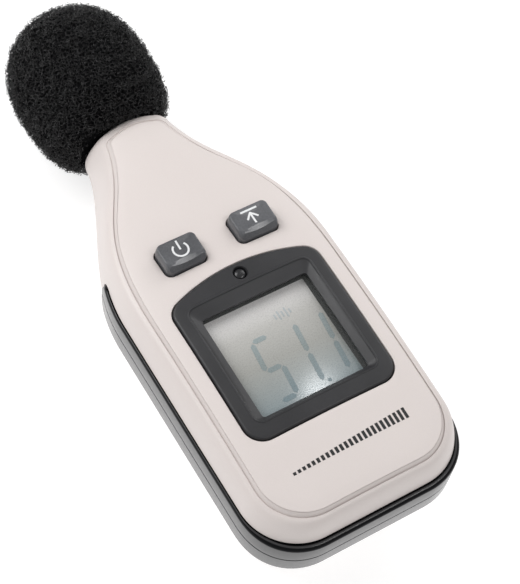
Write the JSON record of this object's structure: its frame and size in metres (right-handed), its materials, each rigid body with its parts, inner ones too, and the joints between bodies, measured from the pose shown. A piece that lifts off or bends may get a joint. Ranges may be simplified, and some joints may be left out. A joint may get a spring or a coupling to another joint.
{
  "type": "sound level meter",
  "caption": "Hand-held sound level meter with a tapered case, recessed display, two keys, side bumper, sliding battery door and a pull-off foam windscreen.",
  "frame": {"origin": "middle of the meter's length and width, on the surface it lies on", "axes": "+Z out of the display face, +Y along the meter towards the microphone, +X across it to the right of the display"},
  "size_m": [0.0544, 0.149, 0.0392],
  "materials": {
    "shell": "satin",
    "dark_grip": "satin",
    "bezel": "satin",
    "clear": "polished",
    "lens": "polished",
    "lcd": "satin",
    "white_plastic": "matte",
    "button": "gloss",
    "black_plastic": "matte",
    "board": "satin",
    "steel": "satin",
    "brass": "satin",
    "rubber": "matte",
    "foam": "matte",
    "cell": "gloss",
    "red_wire": "satin",
    "black_wire": "satin",
    "blue_part": "satin"
  },
  "bodies": {
    "case": {"front_shell": "shell", "rear_shell": "shell", "side_bumper": "dark_grip", "display_bezel": "bezel", "display_window": "clear", "light_sensor": "lens", "lcd_cell": "lcd", "lcd_reflector": "white_plastic", "lcd_holder": "white_plastic", "zebra_strip_lower": "rubber", "zebra_strip_upper": "rubber", "power_switch_body": "black_plastic", "max_switch_body": "black_plastic", "main_board": "board", "controller_chip": "black_plastic", "amplifier_chip": "black_plastic", "crystal": "steel", "supply_capacitor": "blue_part", "gain_trimmer": "blue_part", "battery_cell_1": "cell", "battery_cell_2": "cell", "battery_cell_3": "cell", "contact_plate_1": "steel", "contact_plate_2": "steel", "contact_plate_3": "steel", "contact_spring_1": "steel", "contact_spring_2": "steel", "contact_spring_3": "steel", "battery_lead_positive": "red_wire", "battery_lead_negative": "black_wire", "microphone_lead_signal": "red_wire", "microphone_lead_ground": "black_wire", "microphone_tube": "black_plastic", "microphone_holder": "rubber", "microphone_capsule": "steel", "microphone_cap": "brass", "case_screw_1": "steel", "case_screw_2": "steel", "case_screw_3": "steel", "case_screw_4": "steel", "board_screw_1": "steel", "board_screw_2": "steel", "board_screw_3": "steel", "board_screw_4": "steel"},
    "battery_cover": {"battery_door": "shell"},
    "power_key": {"power_button": "button", "power_switch_plunger": "white_plastic"},
    "max_key": {"max_button": "button", "max_switch_plunger": "white_plastic"},
    "wind_cover": {"windscreen": "foam"}
  },
  "joints": [
    {"name": "power_press", "type": "slide", "parent": "case", "child": "power_key", "axis": [0, 0, -1], "range_m": [0, 0.0006], "stiffness_N_per_m": 1500, "springref_m": -0.0005},
    {"name": "max_press", "type": "slide", "parent": "case", "child": "max_key", "axis": [0, 0, -1], "range_m": [0, 0.0006], "stiffness_N_per_m": 1500, "springref_m": -0.0005},
    {"name": "battery_door_slide", "type": "slide", "parent": "case", "child": "battery_cover", "axis": [0, -1, 0], "range_m": [0, 0.066]},
    {"name": "windscreen_pull", "type": "slide", "parent": "case", "child": "wind_cover", "axis": [0, 1, 0], "range_m": [0, 0.03]}
  ]
}
